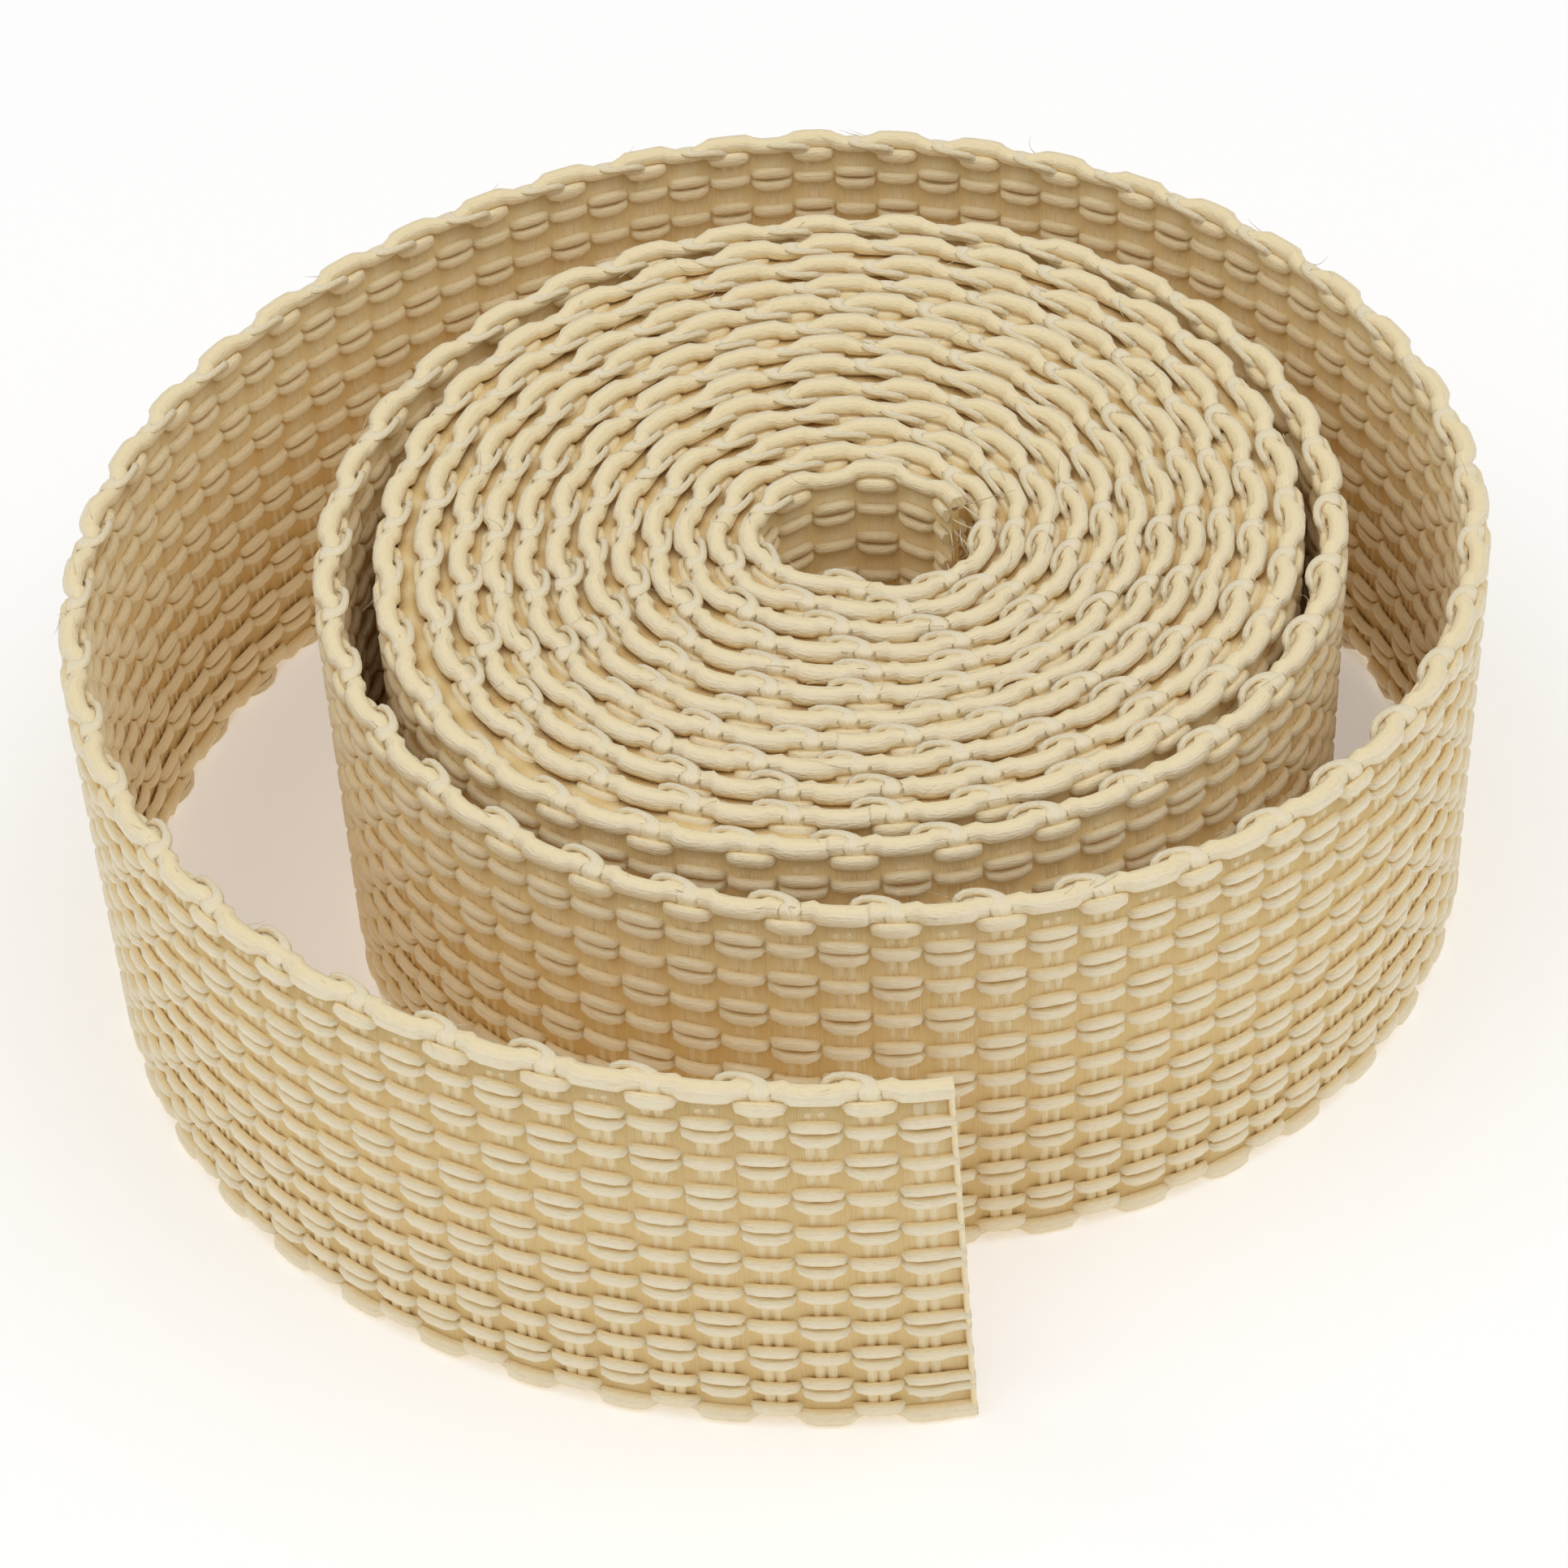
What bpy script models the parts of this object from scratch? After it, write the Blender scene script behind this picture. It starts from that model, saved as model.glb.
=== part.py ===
"""Roll of flat woven polypropylene webbing, standing on its edge.

One cut length of webbing is wound on itself around an open core. The inner turns lie
pressed together, the first wound turn stands a little off them, and the last turn has
sprung open into a wide loose loop, which ends in a free cut end at the front.
"""
import math

import bmesh
import bpy

MM = 0.001

# The webbing
WIDTH = 25.0 * MM
THICKNESS = 1.8 * MM
EDGE_HEIGHT = 0.55 * MM
EDGE_INSET = 0.45 * MM
GROOVE_DEPTH = 0.8 * MM

# The winding, seen from above. Angles start at the front and grow clockwise,
# one column of the table for each 45 degrees.
COLUMNS = ("front", "front left", "left", "back left", "back", "back right", "right", "front right")
TURN_RADII_MM = {
    0: (42.9, 43.0, 41.6, 38.7, 37.8, 36.7, 35.7, 33.7),
    1: (30.7, 29.2, 27.9, 28.1, 28.7, 29.0, 27.9, 27.0),
    2: (25.8, 26.0, 24.6, 25.4, 26.7, 26.6, 25.5, 24.7),
    3: (23.6, 23.6, 22.4, 23.4, 24.6, 24.6, 23.6, 22.9),
    4: (21.7, 21.6, 20.5, 21.4, 22.6, 22.7, 21.8, 21.1),
    13: (5.1, 4.9, 4.4, 4.1, 4.4, 6.0, 7.2, 6.3),
}
FULL_TURN = 360.0
FREE_END_ANGLE = -6.0
CORE_END_ANGLE = 13 * FULL_TURN + 260.0
LOOP_STEP = 5.0
TURN_STEP = 10.0

# The turns from this angle inwards are pressed into one body, parted by a groove
PRESSED_FROM = 2 * FULL_TURN
PRESSED_UNTIL = CORE_END_ANGLE - FULL_TURN

WEBBING_COLOUR = (0.72, 0.62, 0.44, 1.0)
WEBBING_ROUGHNESS = 0.55
SHARP_ANGLE = 40.0


def column_radius(column):
    """Radius of the winding at one 45 degree column, counted on from the front of turn 0."""
    turn, side = divmod(column, len(COLUMNS))
    rows = sorted(TURN_RADII_MM)
    turn = min(max(turn, rows[0]), rows[-1])
    outer = max(row for row in rows if row <= turn)
    inner = min(row for row in rows if row >= turn)
    if outer == inner:
        return TURN_RADII_MM[outer][side] * MM
    share = (turn - outer) / (inner - outer)
    return ((1 - share) * TURN_RADII_MM[outer][side] + share * TURN_RADII_MM[inner][side]) * MM


def radius_at(angle):
    """Smooth radius at any winding angle in degrees, by a cubic through the columns."""
    position = angle * len(COLUMNS) / 360.0
    column = math.floor(position)
    t = position - column
    before, start, end, after = (column_radius(max(column + k, 0)) for k in (-1, 0, 1, 2))
    start_slope = (end - before) / 2
    end_slope = (after - start) / 2
    return ((2 * t**3 - 3 * t**2 + 1) * start + (t**3 - 2 * t**2 + t) * start_slope
            + (3 * t**2 - 2 * t**3) * end + (t**3 - t**2) * end_slope)


def winding_point(angle):
    """Point of the webbing's middle line in plan, about the winding's own centre."""
    turned = math.radians(angle)
    radius = radius_at(angle)
    return -radius * math.sin(turned), -radius * math.cos(turned)


def thickness_at(angle):
    """Thickness of the webbing, pressed thinner where the turns lie close together."""
    thickness = THICKNESS
    if angle >= FULL_TURN:
        thickness = min(thickness, radius_at(angle - FULL_TURN) - radius_at(angle))
    if angle + FULL_TURN <= CORE_END_ANGLE:
        thickness = min(thickness, radius_at(angle) - radius_at(angle + FULL_TURN))
    return thickness


def winding_angles():
    """Angles of the cross-sections: finer on the loose loop, the same in every wound turn."""
    angles = [FREE_END_ANGLE]
    angle = 0.0
    while angle < CORE_END_ANGLE:
        angles.append(angle)
        angle += LOOP_STEP if angle < FULL_TURN else TURN_STEP
    return angles + [CORE_END_ANGLE]


def outward_at(angle):
    """Direction across the webbing, away from the core, at one angle."""
    small = 0.5
    ahead = winding_point(angle + small)
    behind = winding_point(angle - small)
    along = (ahead[0] - behind[0], ahead[1] - behind[1])
    length = math.hypot(*along)
    return -along[1] / length, along[0] / length


def groove_point(angle):
    """Point in plan of the groove between one turn and the next turn in."""
    x, y = winding_point(angle)
    inner_x, inner_y = winding_point(angle + FULL_TURN)
    return (x + inner_x) / 2, (y + inner_y) / 2


def pressed_inside(angle):
    """True where the turn's inner side is pressed on the next turn in."""
    return PRESSED_FROM <= angle <= PRESSED_UNTIL


def pressed_outside(angle):
    """True where the turn's outer side is pressed on the turn around it."""
    return pressed_inside(angle - FULL_TURN)


def cross_section(angle):
    """The eight corners of the section at one angle, by name.

    Where a side is pressed on its neighbour, its two corners move to the groove between
    the turns, so both neighbours share them.
    """
    x, y = winding_point(angle)
    out_x, out_y = outward_at(angle)
    half = thickness_at(angle) / 2
    flat = half - EDGE_INSET

    def corner(side, height):
        return x + out_x * side, y + out_y * side, height

    corners = {
        "outer top": corner(half, WIDTH - EDGE_HEIGHT), "outer rim": corner(flat, WIDTH),
        "inner rim": corner(-flat, WIDTH), "inner top": corner(-half, WIDTH - EDGE_HEIGHT),
        "inner bottom": corner(-half, EDGE_HEIGHT), "inner foot": corner(-flat, 0.0),
        "outer foot": corner(flat, 0.0), "outer bottom": corner(half, EDGE_HEIGHT),
    }
    if pressed_inside(angle):
        corners["inner top"] = (*groove_point(angle), WIDTH - GROOVE_DEPTH)
        corners["inner bottom"] = (*groove_point(angle), GROOVE_DEPTH)
    if pressed_outside(angle):
        corners["outer top"] = (*groove_point(angle - FULL_TURN), WIDTH - GROOVE_DEPTH)
        corners["outer bottom"] = (*groove_point(angle - FULL_TURN), GROOVE_DEPTH)
    return corners


def plan_middle(sections):
    """Middle of the whole roll's box in plan."""
    xs = [point[0] for corners in sections for point in corners.values()]
    ys = [point[1] for corners in sections for point in corners.values()]
    return (min(xs) + max(xs)) / 2, (min(ys) + max(ys)) / 2


def webbing_material():
    material = bpy.data.materials.new("cream polypropylene webbing")
    material.use_nodes = True
    shader = material.node_tree.nodes["Principled BSDF"]
    shader.inputs["Base Color"].default_value = WEBBING_COLOUR
    shader.inputs["Roughness"].default_value = WEBBING_ROUGHNESS
    shader.inputs["Metallic"].default_value = 0.0
    return material


def build_webbing():
    """One closed band that follows the winding from the free end to the core end."""
    angles = winding_angles()
    sections = [cross_section(angle) for angle in angles]
    middle_x, middle_y = plan_middle(sections)
    mesh = bmesh.new()
    made = {}

    def vertex(point):
        """The mesh's vertex at a point; neighbouring turns share those of the groove."""
        key = tuple(round(value / (0.001 * MM)) for value in point)
        if key not in made:
            made[key] = mesh.verts.new((point[0] - middle_x, point[1] - middle_y, point[2]))
        return made[key]

    rings = [{name: vertex(point) for name, point in corners.items()} for corners in sections]
    names = list(sections[0])
    sides = list(zip(names, names[1:] + names[:1]))
    spans = zip(zip(angles, rings), zip(angles[1:], rings[1:]))
    for (angle, ring), (next_angle, next_ring) in spans:
        hidden = set()
        if pressed_inside(angle) and pressed_inside(next_angle):
            hidden.add("inner top")
        if pressed_outside(angle) and pressed_outside(next_angle):
            hidden.add("outer bottom")
        for name, beside in sides:
            if name not in hidden:
                mesh.faces.new((ring[name], next_ring[name], next_ring[beside], ring[beside]))
    mesh.faces.new(list(rings[0].values()))
    mesh.faces.new(list(rings[-1].values()))
    bmesh.ops.recalc_face_normals(mesh, faces=mesh.faces)
    data = bpy.data.meshes.new("webbing")
    mesh.to_mesh(data)
    mesh.free()
    data.shade_smooth()
    data.set_sharp_from_angle(angle=math.radians(SHARP_ANGLE))
    data.materials.append(webbing_material())
    webbing = bpy.data.objects.new("webbing", data)
    bpy.context.scene.collection.objects.link(webbing)
    return webbing


def main():
    for leftover in list(bpy.data.objects):
        bpy.data.objects.remove(leftover, do_unlink=True)
    build_webbing()


main()
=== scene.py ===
"""Looks of a roll of flat woven polypropylene webbing.

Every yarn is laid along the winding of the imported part: the lengthwise yarns, called ends,
which float two by two and one by one over the faces, and the crosswise yarn, which runs to
and fro between the edges and turns round the outermost ends. A flat middle layer lies
behind them. The free end has the melted lip of its cut, the pressed turns have matted
floats between them, and loose fibres stand on the upper edge and in the core.
"""
import math

import bpy
import numpy as np
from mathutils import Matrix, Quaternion, Vector


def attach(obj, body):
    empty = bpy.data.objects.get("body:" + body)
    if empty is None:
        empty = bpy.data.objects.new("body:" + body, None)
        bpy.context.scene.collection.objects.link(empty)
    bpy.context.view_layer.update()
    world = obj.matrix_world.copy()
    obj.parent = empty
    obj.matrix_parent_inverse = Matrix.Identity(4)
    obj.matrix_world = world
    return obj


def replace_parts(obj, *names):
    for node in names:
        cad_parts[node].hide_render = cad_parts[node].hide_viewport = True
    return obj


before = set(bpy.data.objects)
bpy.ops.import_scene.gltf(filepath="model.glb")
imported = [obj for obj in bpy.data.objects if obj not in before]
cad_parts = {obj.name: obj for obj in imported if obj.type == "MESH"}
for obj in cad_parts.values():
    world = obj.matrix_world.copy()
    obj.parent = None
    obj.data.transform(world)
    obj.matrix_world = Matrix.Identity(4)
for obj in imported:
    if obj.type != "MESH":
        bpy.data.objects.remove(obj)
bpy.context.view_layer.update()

bl_info = {
    "name": "Webbing Roll",
    "version": (1, 0, 0),
    "blender": (4, 5, 0),
    "location": "View3D > Sidebar > Webbing Roll",
    "description": "Weaves a roll of flat polypropylene webbing yarn by yarn",
    "category": "Object",
}

MM = 0.001

# The winding, seen from above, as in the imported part. Angles start at the front and grow
# clockwise, one radius in mm for each 45 degrees of a turn.
TURN_RADII = {
    0: (42.9, 43.0, 41.6, 38.7, 37.8, 36.7, 35.7, 33.7),
    1: (30.7, 29.2, 27.9, 28.1, 28.7, 29.0, 27.9, 27.0),
    2: (25.8, 26.0, 24.6, 25.4, 26.7, 26.6, 25.5, 24.7),
    3: (23.6, 23.6, 22.4, 23.4, 24.6, 24.6, 23.6, 22.9),
    4: (21.7, 21.6, 20.5, 21.4, 22.6, 22.7, 21.8, 21.1),
    13: (5.1, 4.9, 4.4, 4.1, 4.4, 6.0, 7.2, 6.3),
}
STATIONS = 8
FULL_TURN = 360.0
FREE_END_ANGLE = -6.0
CORE_END_ANGLE = 13 * FULL_TURN + 260.0
WINDING_CENTRE = (2.976, 2.550)
FINE_STEP = 0.5
SPARE_ANGLE = 8.0

# The upper edge's slow rise and fall along the winding: mm, and waves in a radian of it
RISE_AND_FALL = 0.10
WAVES = (0.37, 1.9)
WAVE_START = 1.0

# The weave. The ends are counted from the top edge: two of each edge, and between them
# dents, which are groups of three.
LAST_END = 31
EDGE_ENDS = 2
DENT_ENDS = 3
MIDDLE_DENT = 4
SPARE_COLUMNS = 8

# How the crosswise yarn turns at the edges. It is doubled: in each column two strands lie
# side by side. Each turn runs from the odd column to the even one after it: over the
# outermost end, then along its inner side. A row holds the place in columns from the border
# between them, the depth and lift in mm, the half width and half height in mm, and the way
# the width points in degrees, from along the webbing to across its thickness.
STRAND_TURNS = (
    (
        (-0.62, 2.40, 0.06, 0.35, 0.30, 0),
        (-0.62, 1.40, 0.10, 0.35, 0.29, 0),
        (-0.58, 0.95, 0.20, 0.42, 0.22, 0),
        (-0.52, 0.64, 0.29, 0.53, 0.14, 0),
        (-0.50, 0.42, 0.29, 0.60, 0.10, 0),
        (-0.50, 0.27, 0.06, 0.62, 0.10, 0),
        (-0.50, 0.27, -0.26, 0.54, 0.12, 10),
        (-0.44, 0.30, -0.54, 0.36, 0.16, 45),
        (-0.28, 0.29, -0.78, 0.24, 0.20, 90),
        (-0.02, 0.28, -0.88, 0.21, 0.21, 90),
        (0.24, 0.38, -0.82, 0.22, 0.21, 90),
        (0.37, 0.74, -0.54, 0.26, 0.24, 60),
        (0.38, 1.35, -0.10, 0.33, 0.30, 20),
        (0.38, 2.40, 0.06, 0.35, 0.30, 0),
    ),
    (
        (-0.38, 2.40, 0.06, 0.35, 0.30, 0),
        (-0.38, 1.40, 0.10, 0.35, 0.29, 0),
        (-0.40, 0.95, 0.16, 0.35, 0.22, 0),
        (-0.44, 0.70, 0.20, 0.35, 0.14, 0),
        (-0.46, 0.54, 0.18, 0.35, 0.10, 0),
        (-0.46, 0.42, 0.02, 0.35, 0.10, 0),
        (-0.42, 0.44, -0.26, 0.33, 0.13, 15),
        (-0.28, 0.52, -0.46, 0.28, 0.17, 60),
        (0.00, 0.64, -0.62, 0.25, 0.20, 90),
        (0.24, 0.76, -0.62, 0.25, 0.20, 90),
        (0.44, 0.96, -0.48, 0.26, 0.21, 80),
        (0.58, 1.22, -0.24, 0.30, 0.26, 50),
        (0.62, 1.60, -0.02, 0.34, 0.29, 20),
        (0.62, 2.40, 0.06, 0.35, 0.30, 0),
    ),
)
# Where its runs between the edges have rings, as shares of the width, and the run beside the
# cut, from share to share with its number of rings
RUN_SHARES = (0.3, 0.7)
FIRST_RUN_SHARES = (0.05, 0.95)
FIRST_RUN_RINGS = 5

# The tile of the yarn's texture maps. Along the yarn it holds a number of columns, or for
# crosswise yarn of the webbing's widths. Lanes side by side hold one yarn's girth each. The
# crosswise yarn's first lane is for its turns, down to a depth in mm, its second for its runs.
YARN_MAP = "yarn"
BAKE_MAP = "OFBake"
TILE_COLUMNS = 8
LANES = 16
LANE_STEP = 7
LANE_MARGIN = 0.04
CROSSING_LANES = 4
CROSSING_TILE_WIDTHS = 1.25
TURN_DEPTH = 1.3
CAP_SPOT = np.array([0.5, 0.5])
CAP_RADIUS = 0.01

# The cut end, in mm: where the cut lies along the webbing at each edge. It holds the ends as
# they are at a share of the first column.
CUT_TOP = 0.40
CUT_BOTTOM = -0.65
HELD_SHARE = 0.12
# Its melted lip: each ring with its distance from the cut and its half thickness, how the
# thickness falls off at the edges, how it varies, and its strip of the tile
LIP_RINGS = ((0.0, 0.48), (0.06, 0.62), (0.20, 0.66), (0.30, 0.52))
LIP_POINTS = 90
LIP_MARGIN = 0.12
LIP_TAPER = 40
LIP_LEAST = 0.3
LIP_UNEVENNESS = 0.04
LIP_DENTS = 0.05
LIP_STRIP = (0.02, 0.48)

# The middle layer, in mm, and the places of its rings in a column
GROUND_START = 1.5
GROUND_MARGIN = 0.7
GROUND_HALF_DEPTH = 0.24
GROUND_SHARES = (0.0, 0.12, 0.26, 0.5, 0.74, 0.88)

# The matted floats between pressed turns: the first turn that has them on its inside, depth
# from the edges in mm, part of the turns' distance that they fill to each side of its
# middle, step in degrees
FILLED_TURN = 2
FILLING_MARGIN = 0.98
FILLING_SHARE = 0.29
FILLING_STEP = 7.5

# The loose fibres of the upper edge, in mm: their number and reach, how far they keep from
# the webbing's two ends, the depth and lift of their roots, how much they rise as a share of
# their length, and the step in which the webbing's direction is taken
STRAY_FIBRES = 420
STRAY_REACH = 1.5
STRAY_MARGINS = (2.0, 4.0)
STRAY_DEPTHS = (0.1, 0.5)
STRAY_LIFT = 0.7
STRAY_RISE = 0.45
STRAY_STEP = 0.3
# The frayed fibres of the core's end: also how far back their roots lie and how they spread
CORE_FIBRES = 70
CORE_REACH = 3.2
CORE_MARGIN = 0.5
CORE_LIFT = 0.6
CORE_ROOT = 0.3
CORE_SPREAD = 0.25
CORE_STEP = 0.5
# Each fibre: its girth in mm, its form as shares of its length, its place in the tile
FIBRE_GIRTH = 0.03
FIBRE_SHORTEST = 0.4
FIBRE_BEND = 0.35
FIBRE_CURL = 0.6
FIBRE_THINNING = 0.7
FIBRE_RINGS = 6
FIBRE_SIDES = 3
FIBRE_ASIDE = (0.3, 0.2, 0.9)
FIBRE_SPOT = (0.012, 0.020)
FIBRE_TILE = 0.1

# An end's path over one column follows humps, sharper or flatter by their powers: its rise
# off the middle surface, its arch away from its neighbours, and its tightness
RISE_POWER = 0.30
ARCH_POWER = 2.0
TIGHT_POWER = 0.6
# How far the outer ends of a dent lie from its middle one, in mm, at a column's borders and
# in its middle, where an eye opens between them
EYE_CROSSING = 0.36
EYE_OPENING = 0.54
# Shares of an end's size: the outer ends of a dent, and all ends squeezed at the borders
EYE_NARROW = 0.92
CROSSING_HEIGHT = 0.46
CROSSING_DEPTH = 0.10
SQUARENESS = 0.80

# The two ends of each edge, in mm and as shares of their size: depths, the outermost one's
# lift at the upper and the lower edge and its section, and the second one's girth
EDGE_DEPTHS = (0.46, 1.16)
EDGE_LIFT = 0.21
FOOT_LIFT = 0.30
EDGE_GIRTH = 1.16
EDGE_HALF_DEPTH = 0.58
SECOND_GIRTH = 1.15
# The crosswise yarn binds the outermost end about the middle of each odd column: how deep it
# dips, how thin it gets, and over how many columns
ODD_MIDDLE = 1.5
EDGE_DIP = 0.16
BOUND_GIRTH = 0.86
BOUND_REACH = 0.37
BOUND_FLAT = 1.35

# What varies from column to column: an end's depth in mm, its size, how loose a turn is
DRIFT = 0.035
SIZE_DRIFT = 0.05
LOOP_DRIFT = 0.12
RANDOM_SEED = 7

# How finely each stretch is modelled: the places of the rings in a column, and the sides
PLAIN = ((0.0, 0.07, 0.3, 0.7, 0.93), 8)
COARSE = ((0.0, 0.06, 0.28, 0.72, 0.94), 6)
LEAST_STRETCH = 0.01
# How finely the crosswise yarn is modelled: its sides, and the rings of its turns
CROSSING_SIDES = 8
HIDDEN_CROSSING_SIDES = 6
TURN_RINGS = 20
LOWER_TURN_RINGS = 12

# The wound turns, each with its range of turns, its ends and how finely it is modelled.
# Between pressed turns only the ends near the edges and the crosswise turns can be seen.
EVERY_END = tuple(range(1, LAST_END + 1))
UPPER_ENDS, LOWER_ENDS = EVERY_END[:16], EVERY_END[16:]
NEAR_EDGES = EVERY_END[:3] + EVERY_END[-3:]
NEAR_EDGES_DEEPER = EVERY_END[:11] + EVERY_END[-5:]
PRESSED_TURN = 3
WOUND_STRETCHES = (
    ("first_turn_ends_upper", 1, 2, UPPER_ENDS, PLAIN),
    ("first_turn_ends_lower", 1, 2, LOWER_ENDS, PLAIN),
    ("second_turn_ends", 2, 3, NEAR_EDGES_DEEPER, PLAIN),
    ("pressed_turn_ends_outer", 3, 6, NEAR_EDGES, COARSE),
    ("pressed_turn_ends_inner", 6, 12.25, NEAR_EDGES, COARSE),
    ("core_ends", 12.25, 14, EVERY_END, COARSE),
)

# The yarns' surface: the tile's size in mm, the stretch of the noise along the yarn, the
# noises' scales for each mm, the relief in mm
LENGTHWISE_TILE = (21.5, 37.0)
CROSSWISE_TILE = (31.0, 8.5)
STRAND_STRETCH = (0.18, 1.0, 1.0)
FILAMENT_SCALE = 12.0
BUNDLE_SCALE = 3.2
PATCH_SCALE = 0.45
GLINT_SCALE = 24.0
YARN_RELIEF = 0.08

# The middle layer's surface, in the same way
GROUND_TILE = (21.0, 25.0)
COMB_STRETCH = (8.0, 0.6, 1.0)
COMB_SCALE = 1.6
MATTED_SCALE = 0.5
# How strong the painted shade at the borders between columns is
BORDER_SHADE_CONTRAST = 0.3
GROUND_RELIEF = 0.06

# The camera, fitted to the photograph, in mm and degrees
CAMERA_TARGET = (-0.299, -0.450, 8.034)
CAMERA_DISTANCE = 239.06
CAMERA_ELEVATION = 42.744
CAMERA_ROLL = -2.786
CAMERA_LENS = 95.26
CAMERA_SENSOR = 36.0
CAMERA_CLIP = (0.01, 10.0)

# The studio, in metres and watts
LAMPS = (
    ("overhead", (0.0, -0.20, 0.80), (0.0, 0.0, 0.0), (0.8, 0.8), 1.35),
    ("left", (-0.50, -0.10, 0.70), (0.0, 0.0, 0.01), (0.7, 0.7), 1.05),
    ("right", (0.50, -0.10, 0.70), (0.0, 0.0, 0.01), (0.7, 0.7), 1.05),
)
WORLD_STRENGTH = 0.52
FLOOR_GLOW = 0.22
LIGHT_BOUNCES = 10
FLOOR_REACH = 3.0


def cubic(t, before, start, end, after):
    """Smooth curve from start to end as t goes from 0 to 1, given their neighbours too."""
    return ((2 * t**3 - 3 * t**2 + 1) * start + (t**3 - 2 * t**2 + t) * (end - before) / 2
            + (3 * t**2 - 2 * t**3) * end + (t**3 - t**2) * (after - start) / 2)


def station_radius(station):
    """Radius in mm at one 45 degree station, counted on from the front of the loose loop."""
    turn, side = divmod(max(station, 0), STATIONS)
    rows = sorted(TURN_RADII)
    turn = min(turn, rows[-1])
    outer = max(row for row in rows if row <= turn)
    inner = min(row for row in rows if row >= turn)
    if outer == inner:
        return TURN_RADII[outer][side]
    share = (turn - outer) / (inner - outer)
    return (1 - share) * TURN_RADII[outer][side] + share * TURN_RADII[inner][side]


def radius_at(angles):
    """Smooth radii in mm at winding angles in degrees, by a cubic through the stations."""
    position = angles * STATIONS / FULL_TURN
    station = np.floor(position).astype(int)
    t = position - station
    first, last = int(station.min()) - 1, int(station.max()) + 2
    radii = np.array([station_radius(k) for k in range(first, last + 1)])
    return cubic(t, *(radii[station - first + k] for k in (-1, 0, 1, 2)))


class Winding:
    """The webbing's middle line as wound, in mm along it from the free end. squeeze is the
    share of its thickness that it keeps beside its neighbours, raised the edge's height."""

    def __init__(self, width, thickness):
        angles = np.arange(FREE_END_ANGLE - SPARE_ANGLE, CORE_END_ANGLE + SPARE_ANGLE, FINE_STEP)
        radii = radius_at(angles)
        turned = np.radians(angles)
        self.width = width
        self.x = WINDING_CENTRE[0] - radii * np.sin(turned)
        self.y = WINDING_CENTRE[1] - radii * np.cos(turned)
        along = np.concatenate([[0.0], np.cumsum(np.hypot(np.diff(self.x), np.diff(self.y)))])
        self.along = along - np.interp(FREE_END_ANGLE, angles, along)
        self.angles = angles
        self.length = np.interp(CORE_END_ANGLE, angles, self.along)
        tangent = np.stack([np.gradient(self.x), np.gradient(self.y)])
        tangent /= np.hypot(*tangent)
        self.out_x, self.out_y = -tangent[1], tangent[0]
        outside = np.where(angles >= FULL_TURN, radius_at(angles - FULL_TURN) - radii, thickness)
        inside = radii - radius_at(np.minimum(angles + FULL_TURN, CORE_END_ANGLE + FULL_TURN))
        inside = np.where(angles + FULL_TURN <= CORE_END_ANGLE, inside, thickness)
        room = np.minimum(thickness, np.minimum(outside, inside))
        self.squeeze = room / thickness
        slow, quick = (np.radians(angles) * wave for wave in WAVES)
        self.raised = RISE_AND_FALL * (1 + np.sin(slow + WAVE_START)) * (0.5 + 0.5 * np.sin(quick))

    def along_at(self, angle):
        """Place along the webbing, in mm, at a winding angle in degrees."""
        return np.interp(angle, self.angles, self.along)

    def place(self, along, depth, lift):
        """World points, in metres, of places on the webbing: mm along it, mm below its upper
        edge and mm out of its middle surface."""
        lift = lift * np.interp(along, self.along, self.squeeze)
        x = np.interp(along, self.along, self.x) + lift * np.interp(along, self.along, self.out_x)
        y = np.interp(along, self.along, self.y) + lift * np.interp(along, self.along, self.out_y)
        z = self.width - depth + np.interp(along, self.along, self.raised)
        return np.stack([x, y, z], axis=-1) * MM


def unit(vectors):
    """Each row's vector at a length of 1."""
    return vectors / np.linalg.norm(vectors, axis=1, keepdims=True)


def tile_stretches(places):
    """Where the stretches between column places start and finish in the material's tile."""
    middle = (places[1:] + places[:-1]) / 2
    tile = np.floor(middle / TILE_COLUMNS) * TILE_COLUMNS
    return (places[:-1] - tile) / TILE_COLUMNS, (places[1:] - tile) / TILE_COLUMNS


def cap_spots(sides):
    """A small circle in the middle of the tile, for the flat end of a tube."""
    turned = np.linspace(0, math.tau, sides, endpoint=False)
    return CAP_SPOT + CAP_RADIUS * np.stack([np.cos(turned), np.sin(turned)], axis=-1)


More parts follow.
